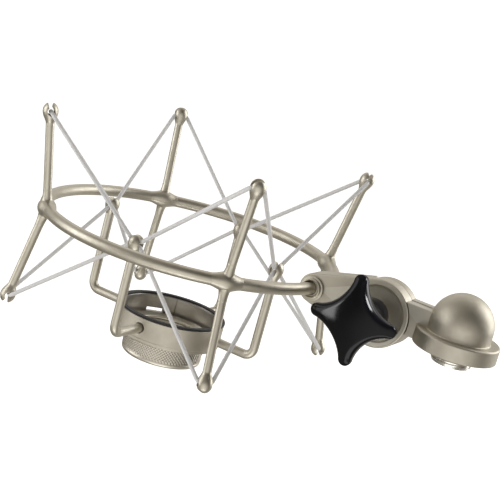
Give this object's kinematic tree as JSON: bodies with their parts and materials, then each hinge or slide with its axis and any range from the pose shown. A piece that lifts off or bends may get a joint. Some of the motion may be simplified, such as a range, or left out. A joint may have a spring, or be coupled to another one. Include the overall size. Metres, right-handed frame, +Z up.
{
  "type": "microphone suspension mount",
  "caption": "Elastic-suspension mount for a large studio microphone: forked posts on a rod ring carry a sprung basket, with a swivel bracket, star knob and stand thread.",
  "frame": {"origin": "centre of the stand thread's mouth, at the bottom of the thread adapter", "axes": "+Z up along the stand thread and parallel to the ring's axis, +X from the ring towards the stand head, +Y to the side away from the clamp knob"},
  "size_m": [0.204, 0.129, 0.0964],
  "materials": {
    "satin_nickel": "satin nickel plate, warm grey",
    "nickel_casting": "bead-blasted casting under satin nickel plate",
    "bright_steel": "turned bright steel",
    "black_plastic": "moulded glossy black",
    "black_rubber": "matt black rubber edging",
    "grey_lining": "smooth grey lining strip",
    "white_braid": "white braided cover over elastic"
  },
  "bodies": {
    "stand_head": {"stand_head": "nickel_casting", "thread_adapter": "bright_steel", "clamp_bolt": "bright_steel", "friction_washer": "bright_steel", "knob_spacer": "satin_nickel"},
    "clamp_knob": {"clamp_knob": "black_plastic"},
    "bracket": {"swivel_bracket": "nickel_casting", "ring_collet_front": "satin_nickel", "ring_collet_rear": "satin_nickel", "outer_ring": "satin_nickel", "hub_head_left": "satin_nickel", "hub_far_left": "satin_nickel", "hub_far_right": "satin_nickel", "hub_head_right": "satin_nickel", "leg_upper_head_left": "satin_nickel", "leg_lower_head_left": "satin_nickel", "leg_upper_far_left": "satin_nickel", "leg_lower_far_left": "satin_nickel", "leg_upper_far_right": "satin_nickel", "leg_lower_far_right": "satin_nickel", "leg_upper_head_right": "satin_nickel", "leg_lower_head_right": "satin_nickel", "fork_upper_head_left": "satin_nickel", "fork_lower_head_left": "satin_nickel", "fork_upper_far_left": "satin_nickel", "fork_lower_far_left": "satin_nickel", "fork_upper_far_right": "satin_nickel", "fork_lower_far_right": "satin_nickel", "fork_upper_head_right": "satin_nickel", "fork_lower_head_right": "satin_nickel", "cord_upper": "white_braid", "cord_lower": "white_braid"},
    "cradle": {"arm_head": "satin_nickel", "arm_left": "satin_nickel", "arm_far": "satin_nickel", "arm_right": "satin_nickel", "fork_inner_head": "satin_nickel", "fork_inner_left": "satin_nickel", "fork_inner_far": "satin_nickel", "fork_inner_right": "satin_nickel", "basket_cup": "satin_nickel", "basket_liner": "grey_lining", "basket_rim": "black_rubber"},
    "ring_nut": {"ring_nut": "satin_nickel", "nut_retainer": "satin_nickel"}
  },
  "joints": [
    {"name": "knob_turn", "type": "hinge", "parent": "stand_head", "child": "clamp_knob", "pos_m": [-0.0324, 0, 0.0086], "axis": [0, -1, 0], "continuous": true},
    {"name": "bracket_swivel", "type": "hinge", "parent": "stand_head", "child": "bracket", "pos_m": [-0.0324, 0, 0.0086], "axis": [0, -1, 0], "range_deg": [-60, 60]},
    {"name": "cradle_float", "type": "slide", "parent": "bracket", "child": "cradle", "axis": [0, 0, 1], "range_m": [-0.008, 0.008], "stiffness_N_per_m": 450, "springref_m": 0.0018, "deforming": ["cord_upper", "cord_lower"]},
    {"name": "ring_nut_turn", "type": "hinge", "parent": "cradle", "child": "ring_nut", "pos_m": [-0.123, 0, -0.0404], "axis": [0, 0, 1], "continuous": true}
  ]
}
